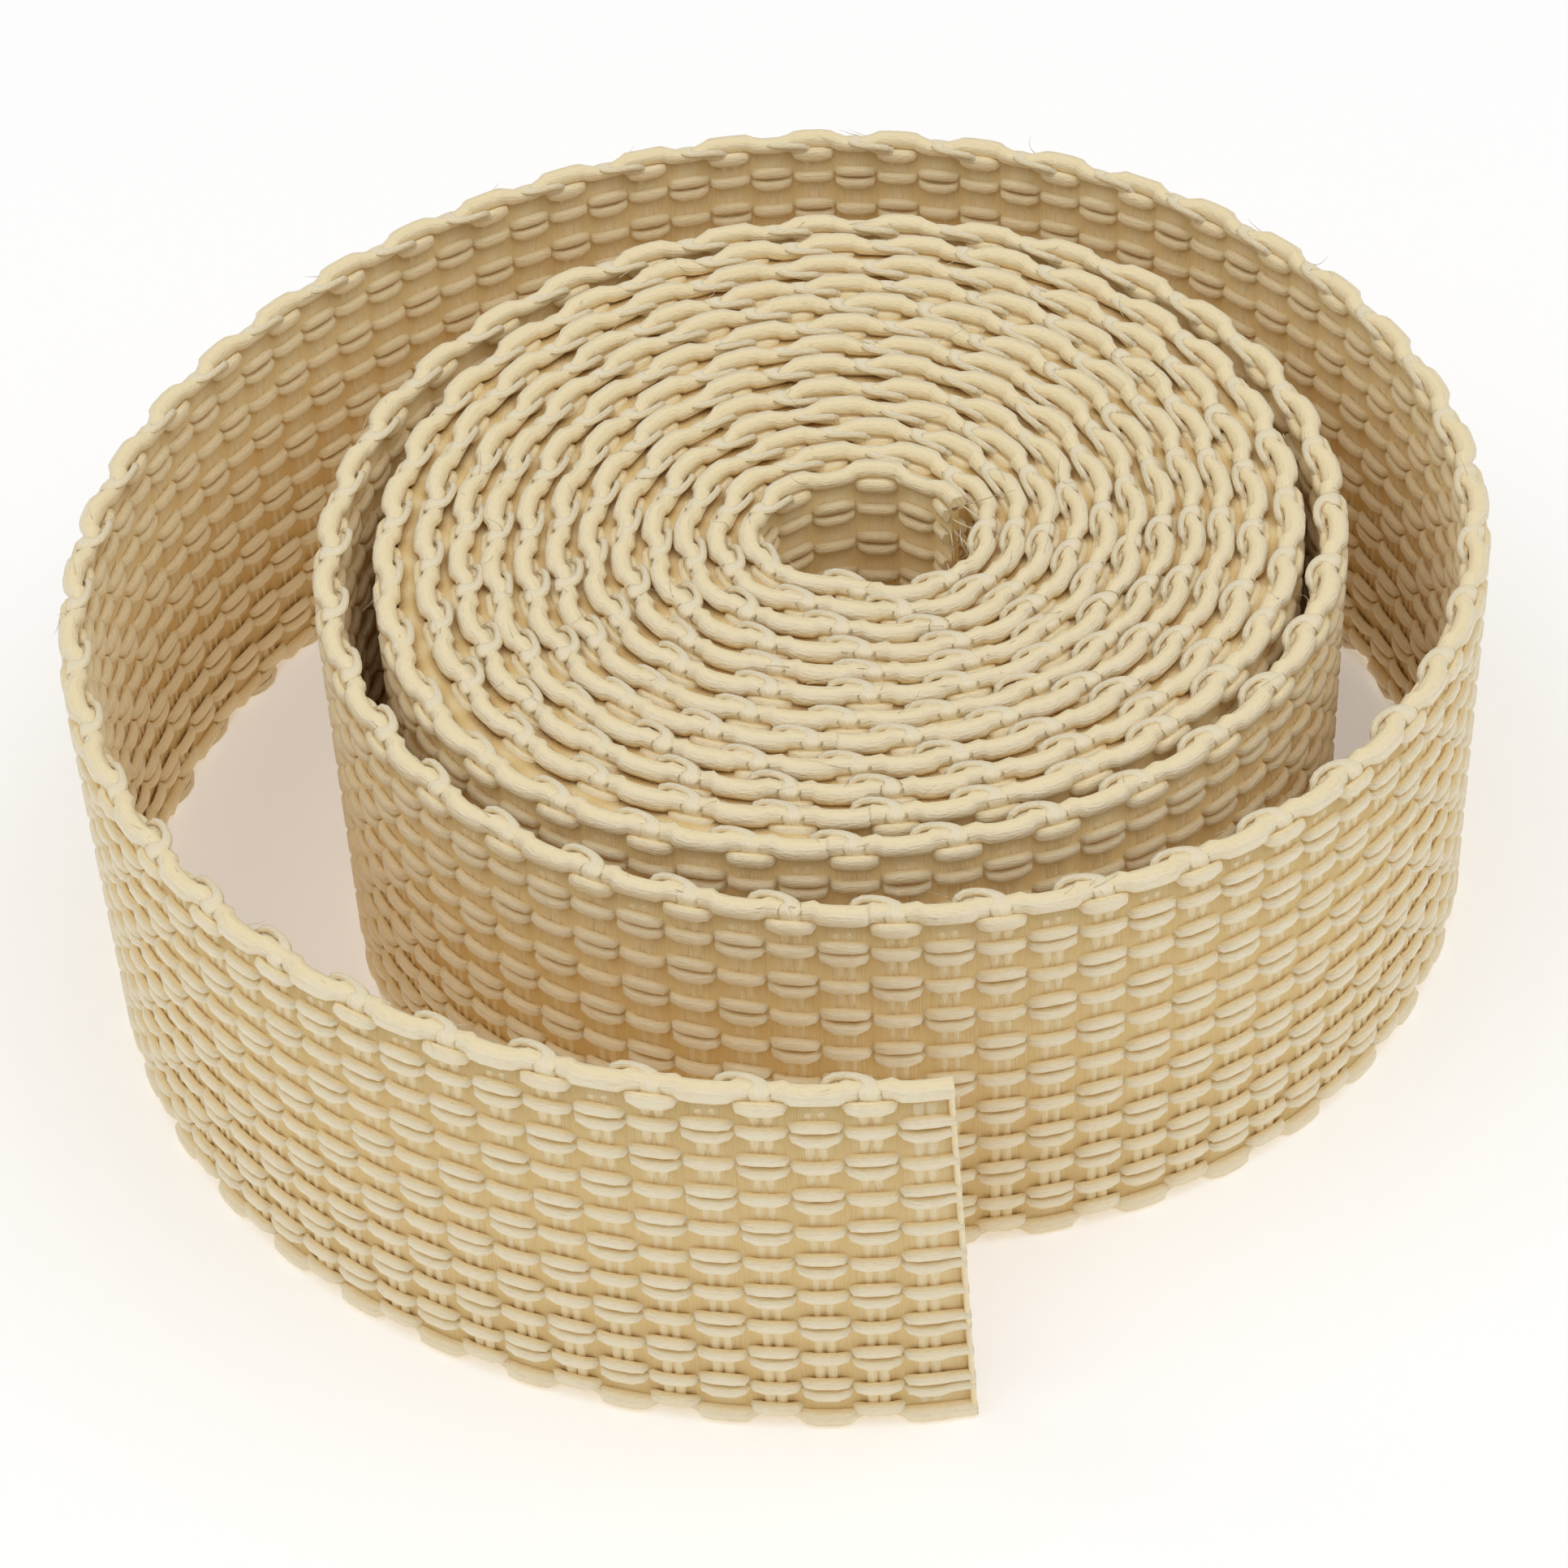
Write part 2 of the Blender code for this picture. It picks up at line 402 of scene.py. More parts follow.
class YarnMesh:
    """Gathers tubes of yarn and makes one object of them."""

    def __init__(self):
        self.points = []
        self.faces = []
        self.caps = []
        self.tile = []
        self.count = 0

    def add_tube(self, rings, around, start, finish, capped=True):
        """rings holds the points of each ring in world space. start and finish give, for
        each stretch between two rings, the places along the yarn in the material's tile, and
        around holds the strip of the tile that the yarn's girth takes, one for all stretches
        or one for each."""
        count, sides = rings.shape[:2]
        ids = self.count + np.arange(count * sides).reshape(count, sides)
        following = np.roll(ids, -1, axis=1)
        quads = np.stack([ids[:-1], following[:-1], following[1:], ids[1:]], axis=-1)
        strip = np.broadcast_to(np.asarray(around, float), (count - 1, 2))
        girth = strip[:, :1] + (strip[:, 1:] - strip[:, :1]) * np.arange(sides + 1) / sides
        low, high = girth[:, :-1], girth[:, 1:]
        begin = np.broadcast_to(start[:, None], (count - 1, sides))
        end = np.broadcast_to(finish[:, None], (count - 1, sides))
        corners = [np.stack(pair, axis=-1) for pair in
                   ((begin, low), (begin, high), (end, high), (end, low))]
        self.points.append(rings.reshape(-1, 3))
        self.faces.append(quads.reshape(-1, 4))
        self.tile.append(np.stack(corners, axis=-2).reshape(-1, 4, 2))
        self.count += count * sides
        if capped:
            self.caps += [ids[0][::-1], ids[-1]]

    def build(self, name, material):
        """Makes the object, with its two texture maps: the bake's and the yarn's own."""
        points = np.concatenate(self.points)
        quads = np.concatenate(self.faces)
        tile = np.concatenate(self.tile)
        cap_sizes = [len(cap) for cap in self.caps]
        loops = np.concatenate([quads.ravel()] + self.caps)
        sizes = np.concatenate([np.full(len(quads), 4), cap_sizes]).astype(int)
        starts = np.concatenate([[0], np.cumsum(sizes)[:-1]])
        places = np.concatenate([tile.reshape(-1, 2)] + [cap_spots(size) for size in cap_sizes])
        mesh = bpy.data.meshes.new(name)
        mesh.vertices.add(len(points))
        mesh.vertices.foreach_set("co", points.astype(np.float32).ravel())
        mesh.loops.add(len(loops))
        mesh.loops.foreach_set("vertex_index", loops.astype(np.int32))
        mesh.polygons.add(len(sizes))
        mesh.polygons.foreach_set("loop_start", starts.astype(np.int32))
        mesh.polygons.foreach_set("loop_total", sizes.astype(np.int32))
        mesh.update(calc_edges=True)
        mesh.validate()
        places = places.astype(np.float32).ravel()
        for layer in (YARN_MAP, BAKE_MAP):
            mesh.uv_layers.new(name=layer).data.foreach_set("uv", places)
        mesh.uv_layers.active = mesh.uv_layers[BAKE_MAP]
        smooth = np.concatenate([np.ones(len(quads), bool), np.zeros(len(cap_sizes), bool)])
        mesh.polygons.foreach_set("use_smooth", smooth)
        mesh.materials.append(material)
        made = bpy.data.objects.new(name, mesh)
        bpy.context.scene.collection.objects.link(made)
        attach(made, "root")
        return made


def smoothed(rows, count):
    """Rows of a table respaced to another count, by a cubic through them."""
    place = np.linspace(0, len(rows) - 1, count)
    row = np.minimum(place.astype(int), len(rows) - 2)
    t = (place - row)[:, None]
    return cubic(t, *(rows[np.clip(row + k, 0, len(rows) - 1)] for k in (-1, 0, 1, 2)))


def hump(share, power):
    """A smooth hump over one column: 0 at its borders, 1 in its middle."""
    return np.sin(np.pi * np.clip(share, 0.0, 1.0)) ** power


class Weave:
    """Where each yarn of the weave runs, for one set of sizes."""

    def __init__(self, sizes):
        self.width = sizes.width / MM
        self.pitch = sizes.column_pitch / MM
        self.first = sizes.first_column / MM
        self.lift = sizes.float_lift / MM
        self.half_height = sizes.yarn_width / MM / 2
        self.half_depth = sizes.yarn_depth / MM / 2
        self.dent_pitch = sizes.dent_pitch / MM
        self.winding = Winding(self.width, sizes.thickness / MM)
        self.random = np.random.default_rng(RANDOM_SEED)
        columns = int(self.winding.length / self.pitch) + SPARE_COLUMNS
        self.height_drift = self.random.normal(0, 1, (LAST_END + 1, columns))
        self.size_drift = self.random.normal(0, 1, (LAST_END + 1, columns))
        self.column_drift = self.random.normal(0, 1, columns)

    def column_of(self, along):
        """Column coordinate of a place along the webbing. Even columns start at even numbers."""
        return (along - self.first) / self.pitch + 0.5

    def along_of(self, column):
        """Place along the webbing, in mm, of a column coordinate."""
        return self.first + (column - 0.5) * self.pitch

    def cut_at(self, depth):
        """Where the slanted cut crosses a depth, in mm along the webbing."""
        return CUT_TOP + (CUT_BOTTOM - CUT_TOP) * depth / self.width

    def end_depth(self, end):
        """Depth of an end's own line below the upper edge, and its side within its dent."""
        if end <= EDGE_ENDS:
            return EDGE_DEPTHS[end - 1], 0
        if end > LAST_END - EDGE_ENDS:
            return self.width - EDGE_DEPTHS[LAST_END - end], 0
        dent, place = divmod(end - EDGE_ENDS - 1, DENT_ENDS)
        middle = self.width / 2 + (dent - MIDDLE_DENT) * self.dent_pitch
        return middle, place - 1

    def end_path(self, end, columns):
        """Depth, lift, half height and half depth of one lengthwise end at column places. The
        cut holds the ends where they come out of the first column."""
        columns = np.maximum(columns, HELD_SHARE)
        column = np.floor(columns).astype(int)
        share = columns - column
        drift = np.clip(column + 2, 0, self.height_drift.shape[1] - 1)
        side = np.where((column + end) % 2 == 1, 1.0, -1.0)
        depth, place = self.end_depth(end)
        rise, arch, tight = (hump(share, power) for power in (RISE_POWER, ARCH_POWER, TIGHT_POWER))
        wobble = self.height_drift[end, drift] * DRIFT * arch
        grown = 1 + SIZE_DRIFT * self.size_drift[end, drift] * arch
        depths = depth + wobble + place * (EYE_CROSSING + (EYE_OPENING - EYE_CROSSING) * arch)
        narrow = 1.0 if place == 0 else EYE_NARROW
        squeezed = CROSSING_HEIGHT + (narrow - CROSSING_HEIGHT) * tight
        half_height = self.half_height * squeezed * grown
        half_depth = self.half_depth * (1.0 + CROSSING_DEPTH * (1 - tight))
        lift = side * rise * self.lift
        if end in (EDGE_ENDS, LAST_END + 1 - EDGE_ENDS):
            half_height = half_height * SECOND_GIRTH
        if end in (1, LAST_END):
            # The outermost ends are bound in the odd columns, where the crosswise yarn turns
            bound = np.abs(columns - np.floor(columns / 2) * 2 - ODD_MIDDLE)
            near = np.clip(BOUND_FLAT - bound / BOUND_REACH, 0, 1)
            near = near * near * (3 - 2 * near)
            pinch = grown * (1 - (1 - BOUND_GIRTH) * near)
            depths = depths + (EDGE_DIP if end == 1 else -EDGE_DIP) * near
            lift = lift * (EDGE_LIFT if end == 1 else FOOT_LIFT) / self.lift
            half_height = self.half_height * EDGE_GIRTH * pinch
            half_depth = EDGE_HALF_DEPTH * pinch
        return depths, lift, half_height, half_depth

    def end_rings(self, end, columns, sides):
        """Rings of an end's tube in world space."""
        depths, lift, half_height, half_depth = self.end_path(end, columns)
        turned = (np.arange(sides) + 0.5) * math.tau / sides
        tall, deep = (np.sign(wave) * np.abs(wave) ** SQUARENESS
                      for wave in (np.cos(turned), np.sin(turned)))
        depth = depths[:, None] + half_height[:, None] * tall
        out = lift[:, None] + half_depth[:, None] * deep
        along = np.broadcast_to(self.along_of(columns)[:, None], depth.shape)
        return self.winding.place(along, depth, out)

    def border_near(self, angle):
        """The border between two columns that is nearest to a winding angle."""
        return self.along_of(round(float(self.column_of(self.winding.along_at(angle)))))

    def column_places(self, start, stop, shares):
        """Column places of the rings between two lengths along the webbing."""
        low, high = self.column_of(start), self.column_of(stop)
        grid = np.arange(math.floor(low), math.ceil(high) + 1)[:, None] + np.asarray(shares)
        grid = grid.ravel()
        inside = grid[(grid > low + LEAST_STRETCH) & (grid < high - LEAST_STRETCH)]
        return np.concatenate([[low], inside, [high]])

    def add_ends(self, yarn, ends, start, stop, shares, sides):
        """Adds the lengthwise ends between two lengths along the webbing. A start of None is
        the slanted cut."""
        for end in ends:
            first = self.cut_at(self.end_depth(end)[0]) if start is None else start
            places = self.column_places(first, stop, shares)
            lane = (end * LANE_STEP) % LANES
            around = ((lane + LANE_MARGIN) / LANES, (lane + 1 - LANE_MARGIN) / LANES)
            yarn.add_tube(self.end_rings(end, places, sides), around, *tile_stretches(places))

    def strand_turns(self, strand):
        """The upper and the lower turn of one strand of the doubled crosswise yarn."""
        upper = smoothed(np.array(STRAND_TURNS[strand]), TURN_RINGS)
        lower = smoothed(np.array(STRAND_TURNS[strand]), LOWER_TURN_RINGS)
        lower[:, 1] = self.width - lower[:, 1]
        return upper, lower

    def strand_rings(self, path, repeats, sides):
        """World rings of one strand's path, repeated along the webbing."""
        column, depth, lift, half_width, half_height, pointing = path.T
        middle = np.stack([column * self.pitch, depth, lift], axis=-1)
        along = unit(np.gradient(middle, axis=0))
        pointing = np.radians(pointing)
        across = np.stack([np.cos(pointing), np.zeros(len(path)), np.sin(pointing)], axis=-1)
        across = unit(across - np.sum(across * along, axis=1, keepdims=True) * along)
        through = np.cross(along, across)
        turned = np.arange(sides) * math.tau / sides
        ring = (across[:, None] * (half_width[:, None] * np.cos(turned))[..., None]
                + through[:, None] * (half_height[:, None] * np.sin(turned))[..., None])
        drift = np.clip(repeats + 1, 0, len(self.column_drift) - 1)
        looser = 1 + LOOP_DRIFT * self.column_drift[drift][:, None]
        place = np.repeat(middle[None], len(repeats), axis=0)
        place[:, :, 0] += self.along_of(2 * repeats)[:, None]
        place[:, :, 2] *= looser
        rings = place[:, :, None] + ring
        return self.winding.place(rings[..., 0], rings[..., 1], rings[..., 2])

    def add_strand(self, yarn, path, repeats, sides, closed):
        """Adds one strand's path at each repeat, as a closed ring or as an open hook."""
        if closed:
            path = np.concatenate([path, path[:1]])
        rings = self.strand_rings(path, repeats, sides)
        places = path[:, :3] * [self.pitch, 1, 1]
        gone = np.concatenate([[0.0], np.cumsum(np.linalg.norm(np.diff(places, axis=0), axis=1))])
        begin = gone[:-1] / self.width / CROSSING_TILE_WIDTHS
        finish = gone[1:] / self.width / CROSSING_TILE_WIDTHS
        if finish[-1] > 1:
            # What is past the tile's end starts the tile again
            later = (begin + finish) / 2 > 1
            begin = begin - later
            finish = finish - later
        middle = (path[:-1, 1] + path[1:, 1]) / 2
        inside = (middle > TURN_DEPTH) & (middle < self.width - TURN_DEPTH)
        lane = inside.astype(float)
        around = np.stack([lane + LANE_MARGIN, lane + 1 - LANE_MARGIN], axis=-1) / CROSSING_LANES
        for ring in rings:
            yarn.add_tube(ring, around, begin, finish, capped=not closed)

    def add_crossing(self, yarn, repeats, sides):
        """Adds both strands of the crosswise yarn, over and under and through the cloth."""
        for strand in (0, 1):
            upper, lower = self.strand_turns(strand)
            down = np.array([[upper[-1][0], self.width * share, 0.0, *upper[-1][3:]]
                             for share in RUN_SHARES])
            up = down[::-1].copy()
            up[:, 0] = upper[0][0]
            path = np.concatenate([upper, down, lower[::-1], up])
            self.add_strand(yarn, path, repeats, sides, closed=True)

    def add_first_run(self, yarn, sides):
        """Adds the run of crosswise yarn nearest the cut, which turns at neither edge."""
        for strand in (0, 1):
            last = self.strand_turns(strand)[0][-1]
            shares = np.linspace(*FIRST_RUN_SHARES, FIRST_RUN_RINGS)
            path = np.array([[last[0], self.width * share, *last[2:]] for share in shares])
            self.add_strand(yarn, path, np.array([0]), sides, closed=False)

    def add_crossing_edges(self, yarn, repeats, sides):
        """Adds only the turns of the crosswise yarn, where pressed turns hide its runs."""
        for strand in (0, 1):
            for path in self.strand_turns(strand):
                self.add_strand(yarn, path, repeats, sides, closed=False)


class Value:
    """One socket's value in a material, so that shader maths is written as plain sums."""

    def __init__(self, shader, socket):
        self.shader = shader
        self.socket = socket

    def math(self, operation, *others, swapped=False):
        parts = [self, *others]
        if swapped:
            parts.reverse()
        return self.shader.node("ShaderNodeMath", {"operation": operation}, dict(enumerate(parts)))

    def __add__(self, other):
        return self.math("ADD", other)

    __radd__ = __add__

    def __sub__(self, other):
        return self.math("SUBTRACT", other)

    def __rsub__(self, other):
        return self.math("SUBTRACT", other, swapped=True)

    def __mul__(self, other):
        return self.math("MULTIPLY", other)

    __rmul__ = __mul__

    def clamped(self):
        return self.math("MAXIMUM", 0.0).math("MINIMUM", 1.0)


class Shader:
    """A new material with a Principled surface, whose nodes are added one call at a time."""

    def __init__(self, name, **constants):
        self.material = bpy.data.materials.new(name)
        self.material.use_nodes = True
        self.tree = self.material.node_tree
        self.surface = self.tree.nodes["Principled BSDF"]
        for socket, value in constants.items():
            self.surface.inputs[socket.replace("_", " ")].default_value = value

    def node(self, kind, settings=None, inputs=None, output=0):
        """Adds a node and gives the value of one of its outputs."""
        made = self.tree.nodes.new(kind)
        for setting, value in (settings or {}).items():
            setattr(made, setting, value)
        for socket, value in (inputs or {}).items():
            self.join(value, made.inputs[socket])
        return Value(self, made.outputs[output])

    def join(self, value, socket):
        """Links a value to a socket, or sets a constant on it."""
        if isinstance(value, Value):
            self.tree.links.new(value.socket, socket)
        else:
            socket.default_value = value

    def feed(self, socket, value):
        """Gives the surface one of its values."""
        self.join(value, self.surface.inputs[socket])

    def noise(self, vector, scale, detail=2.0):
        return self.node("ShaderNodeTexNoise", {"noise_dimensions": "2D"},
                         {"Vector": vector, "Scale": scale, "Detail": detail})

    def mix(self, share, first, second):
        """Mixes two colours."""
        settings = {"data_type": "RGBA", "clamp_factor": True}
        return self.node("ShaderNodeMix", settings, {0: share, 6: first, 7: second}, output=2)

    def bump(self, height, distance):
        return self.node("ShaderNodeBump", {}, {"Height": height, "Distance": distance})

    def places(self):
        """The yarn map's coordinates."""
        return self.node("ShaderNodeUVMap", {"uv_map": YARN_MAP})

    def stretched(self, vector, factors):
        return self.node("ShaderNodeVectorMath", {"operation": "MULTIPLY"},
                         {0: vector, 1: factors})

    def part(self, vector, axis):
        """One of a vector's numbers: 0 along the yarn, 1 round its girth."""
        return self.node("ShaderNodeSeparateXYZ", {}, {0: vector}, output=axis)


def colour(rgb):
    """A colour with full alpha."""
    return (*rgb, 1.0)


def yarn_material(name, colours, tile, lanes, crosswise=False):
    """Satin bundles of fine filaments, with painted golden shade on the flanks. tile is the
    size of the yarn map's tile in mm, lanes its number of girths. Lengthwise yarn also has
    painted golden shade on the side that faces the core, crosswise yarn along its runs
    between the edges."""
    pale, warm = colours.pale, colours.warm
    # The golden colour of the painted shade: the depth's pale colour for crosswise yarn, the deep
    # yarn colour for lengthwise yarn
    deep = colours.depth_shade_pale if crosswise else colours.deep
    shader = Shader(name, Specular_IOR_Level=0.5, Sheen_Weight=0.12, Sheen_Roughness=0.4)
    places = shader.places()
    spread = shader.stretched(places, (*tile, 1.0))
    strands = shader.stretched(spread, STRAND_STRETCH)
    filaments = shader.noise(strands, FILAMENT_SCALE)
    bundles = shader.noise(strands, BUNDLE_SCALE, detail=1.0)
    patches = shader.noise(spread, PATCH_SCALE)
    glints = shader.noise(strands, GLINT_SCALE, detail=0.0)
    tone = (filaments * 0.9 + bundles * 0.4 + patches * 0.6 - 0.45).clamped()
    face = shader.mix(tone, colour(warm), colour(pale))
    girth = shader.part(places, 1)
    turned = girth * (lanes * math.tau)
    # Painted shade: the flanks of each yarn, round the sides of its girth, take the golden colour
    flank_shade = (turned.math("COSINE").math("ABSOLUTE") * 1.2 - 0.45).clamped()
    if crosswise:
        # Painted shade: the crosswise yarn's runs between the edges, which lie deep among the
        # floats, take the golden colour
        other = girth.math("GREATER_THAN", 1.0 / lanes) * 0.8
    else:
        # Painted shade: the side of each lengthwise end that faces the core takes the golden
        # colour of the coil's shaded inside
        other = (0.1 - turned.math("SINE")).clamped() * 0.6
    shade = flank_shade.math("MAXIMUM", other)
    shader.feed("Base Color", shader.mix(shade, face, colour(deep)))
    shader.feed("Roughness", 0.48 - 0.24 * glints + 0.08 * patches)
    relief = filaments * 0.8 + bundles * 0.5
    shader.feed("Normal", shader.bump(relief, YARN_RELIEF * MM))
    return shader.material


def ground_material(pale, warm):
    """The matted depth of the weave, seen between the yarns, in golden colours that are painted
    shade.
    """
    shader = Shader("weave depth", Roughness=0.75, Specular_IOR_Level=0.2)
    places = shader.places()
    spread = shader.stretched(places, (*GROUND_TILE, 1.0))
    strands = shader.noise(shader.stretched(spread, COMB_STRETCH), COMB_SCALE)
    patches = shader.noise(spread, MATTED_SCALE, detail=1.0)
    columns = shader.part(places, 0) * (TILE_COLUMNS * math.tau)
    # Painted shade: darker at the borders between columns, where the floats dip into the cloth,
    # lighter in each column's middle
    border_shade = BORDER_SHADE_CONTRAST / 2 - columns.math("COSINE") * BORDER_SHADE_CONTRAST
    tone = (border_shade + strands * 0.5 + patches * 0.4 - 0.35).clamped()
    # Painted shade: the middle layer's colours are golden, as the weave's depths look in shade
    shader.feed("Base Color", shader.mix(tone, colour(warm), colour(pale)))
    shader.feed("Normal", shader.bump(strands, GROUND_RELIEF * MM))
    return shader.material


def add_ground(weave, material):
    """The weave's closed middle layer, a ribbon that follows the whole winding. Its first
    ring follows the slanted cut, inside the lip."""
    places = weave.column_places(GROUND_START, weave.winding.length, GROUND_SHARES)
    top, bottom = GROUND_MARGIN, weave.width - GROUND_MARGIN
    depth = np.array([top, top, bottom, bottom])
    lift = GROUND_HALF_DEPTH * np.array([1.0, -1.0, -1.0, 1.0])
    along = np.repeat(weave.along_of(places)[:, None], 4, 1)
    along[0] = weave.cut_at(depth) + LIP_RINGS[2][0]
    ground = YarnMesh()
    ground.add_tube(weave.winding.place(along, depth, lift), (0.0, 1.0), *tile_stretches(places))
    return ground.build("webbing_ground", material)


def add_cut_edge(weave, material):
    """The melted lip that seals the ends of all the yarns where the webbing was cut."""
    share = np.linspace(0.0, 1.0, LIP_POINTS)
    down = LIP_MARGIN + (weave.width - 2 * LIP_MARGIN) * share
    fullness = np.minimum(1.0, np.sqrt(np.minimum(share, 1 - share) * LIP_TAPER) + LIP_LEAST)
    waves = weave.random.normal(0, LIP_UNEVENNESS, (2, LIP_POINTS))
    dents = LIP_DENTS * np.cos(math.tau * (down - weave.width / 2) / weave.dent_pitch)
    rings = []
    for back, lift in LIP_RINGS:
        outer = (lift + dents + waves[0]) * fullness
        inner = -(lift - dents + waves[1]) * fullness
        depth = np.concatenate([down[::-1], down])
        along = weave.cut_at(depth) + back
        rings.append(weave.winding.place(along, depth, np.concatenate([outer[::-1], inner])))
    places = np.array([back for back, lift in LIP_RINGS]) / TILE_COLUMNS
    yarn = YarnMesh()
    yarn.add_tube(np.array(rings), LIP_STRIP, places[:-1], places[1:])
    return yarn.build("cut_edge", material)


def add_fibres(weave, name, material, roots, ways, reach, girth):
    """Loose fibres: roots and ways are points and directions in world space. Each fibre
    leaves its root along its way, bends at random, stays above the table and thins out."""
    yarn = YarnMesh()
    steps = np.linspace(0.0, 1.0, FIBRE_RINGS)
    gone = steps[:, None]
    turned = np.arange(FIBRE_SIDES) * math.tau / FIBRE_SIDES
    places = steps * FIBRE_TILE
    for root, way in zip(roots, ways):
        length = reach * weave.random.uniform(FIBRE_SHORTEST, 1.0)
        bend = weave.random.normal(0, FIBRE_BEND, 3)
        curl = weave.random.normal(0, FIBRE_BEND * FIBRE_CURL, 3)
        path = root + length * (gone * way + gone**2 * bend + gone**3 * curl)
        path[:, 2] = np.maximum(path[:, 2], girth)
        along = unit(np.gradient(path, axis=0))
        across = unit(np.cross(along, FIBRE_ASIDE))
        through = np.cross(along, across)
        radius = girth * (1 - FIBRE_THINNING * steps)[:, None, None]
        rings = path[:, None] + radius * (across[:, None] * np.cos(turned)[:, None]
                                          + through[:, None] * np.sin(turned)[:, None])
        yarn.add_tube(rings, FIBRE_SPOT, places[:-1], places[1:])
    return yarn.build(name, material)


def add_filling(weave, material):
    """The floats of pressed turns, matted into each other: a ribbon between each two turns,
    in the middle layer's golden colours of painted shade.
    """
    winding = weave.winding
    angles = np.arange(FILLED_TURN * FULL_TURN, CORE_END_ANGLE - FULL_TURN, FILLING_STEP)
    along, next_in = winding.along_at(angles), winding.along_at(angles + FULL_TURN)
    top, bottom = FILLING_MARGIN, weave.width - FILLING_MARGIN
    outer, inner = 0.5 + FILLING_SHARE, 0.5 - FILLING_SHARE
    corners = []
    for depth, share in ((top, outer), (top, inner), (bottom, inner), (bottom, outer)):
        corners.append(share * winding.place(along, depth, 0.0)
                       + (1 - share) * winding.place(next_in, depth, 0.0))
    yarn = YarnMesh()
    yarn.add_tube(np.stack(corners, axis=1), (0.0, 1.0), *tile_stretches(weave.column_of(along)))
    return yarn.build("matted_floats", material)


class RollSizes(bpy.types.PropertyGroup):
    """Sizes of the webbing and of its weave."""

    width: bpy.props.FloatProperty(
        name="Webbing width", description="From edge to edge", default=25.0 * MM,
        unit="LENGTH", subtype="DISTANCE")
    thickness: bpy.props.FloatProperty(
        name="Webbing thickness", description="From face to face where nothing presses it",
        default=1.8 * MM, unit="LENGTH", subtype="DISTANCE")
    column_pitch: bpy.props.FloatProperty(
        name="Column pitch", description="Length of webbing that each crosswise run takes",
        default=2.639 * MM, unit="LENGTH", subtype="DISTANCE")
    first_column: bpy.props.FloatProperty(
        name="First column", description="Middle of the first whole column, from the cut",
        default=1.76 * MM, unit="LENGTH", subtype="DISTANCE")
    dent_pitch: bpy.props.FloatProperty(
        name="Dent pitch", description="Distance between groups of three lengthwise ends",
        default=2.42 * MM, unit="LENGTH", subtype="DISTANCE")
    yarn_width: bpy.props.FloatProperty(
        name="Yarn width", description="Width of a floating yarn on the face",
        default=0.86 * MM, unit="LENGTH", subtype="DISTANCE")
    yarn_depth: bpy.props.FloatProperty(
        name="Yarn depth", description="Depth of a floating yarn into the face",
        default=0.56 * MM, unit="LENGTH", subtype="DISTANCE")
    float_lift: bpy.props.FloatProperty(
        name="Float lift", description="How far a float's middle stands off the middle surface",
        default=0.58 * MM, unit="LENGTH", subtype="DISTANCE")


class RollColours(bpy.types.PropertyGroup):
    """Colours of the yarns and of the floor."""

    pale: bpy.props.FloatVectorProperty(
        name="Pale yarn", description="Lightest filaments", default=(0.93, 0.84, 0.64),
        size=3, min=0.0, max=1.0, subtype="COLOR")
    warm: bpy.props.FloatVectorProperty(
        name="Warm yarn", description="Deepest filaments", default=(0.89, 0.75, 0.48),
        size=3, min=0.0, max=1.0, subtype="COLOR")
    # Painted shade: the golden colour of the yarns' flanks and of their side that faces the core
    deep: bpy.props.FloatVectorProperty(
        name="Deep yarn", description="Flanks and inner face of a yarn",
        default=(0.98, 0.81, 0.47), size=3, min=0.0, max=1.0, subtype="COLOR")
    # Painted shade: the golden colours of the weave's depths, seen between the yarns
    depth_shade_pale: bpy.props.FloatVectorProperty(
        name="Depth, pale", description="Lightest of what shows between the yarns",
        default=(0.95, 0.79, 0.48), size=3, min=0.0, max=1.0, subtype="COLOR")
    depth_shade_warm: bpy.props.FloatVectorProperty(
        name="Depth, warm", description="Deepest of what shows between the yarns",
        default=(0.82, 0.61, 0.29), size=3, min=0.0, max=1.0, subtype="COLOR")
    floor: bpy.props.FloatVectorProperty(
        name="Floor", description="Studio floor", default=(0.93, 0.93, 0.93),
        size=3, min=0.0, max=1.0, subtype="COLOR")


def new_weave(context):
    return Weave(context.scene.roll_sizes)


def lengthwise_material(context):
    """The lengthwise yarn's material, made once for all the pieces of it."""
    name = "lengthwise yarn"
    if name not in bpy.data.materials:
        yarn_material(name, context.scene.roll_colours, LENGTHWISE_TILE, LANES)
    return bpy.data.materials[name]


class WEAVE_OT_ground(bpy.types.Operator):
    """Lay the middle layer of the weave, the cloth that carries every yarn"""
    bl_idname = "weave.ground"
    bl_label = "Middle Layer"

    def execute(self, context):
        colours = context.scene.roll_colours
        weave = new_weave(context)
        material = ground_material(colours.depth_shade_pale, colours.depth_shade_warm)
        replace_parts(add_ground(weave, material), "webbing")
        add_filling(weave, material)
        return {"FINISHED"}


class WEAVE_OT_loop(bpy.types.Operator):
    """Weave the lengthwise ends of the loose loop"""
    bl_idname = "weave.loop"
    bl_label = "Ends of the Loose Loop"

    def execute(self, context):
        weave = new_weave(context)
        stop = weave.border_near(FULL_TURN)
        for half, ends in (("upper", UPPER_ENDS), ("lower", LOWER_ENDS)):
            yarn = YarnMesh()
            weave.add_ends(yarn, ends, None, stop, *PLAIN)
            yarn.build(f"loop_ends_{half}", lengthwise_material(context))
        return {"FINISHED"}


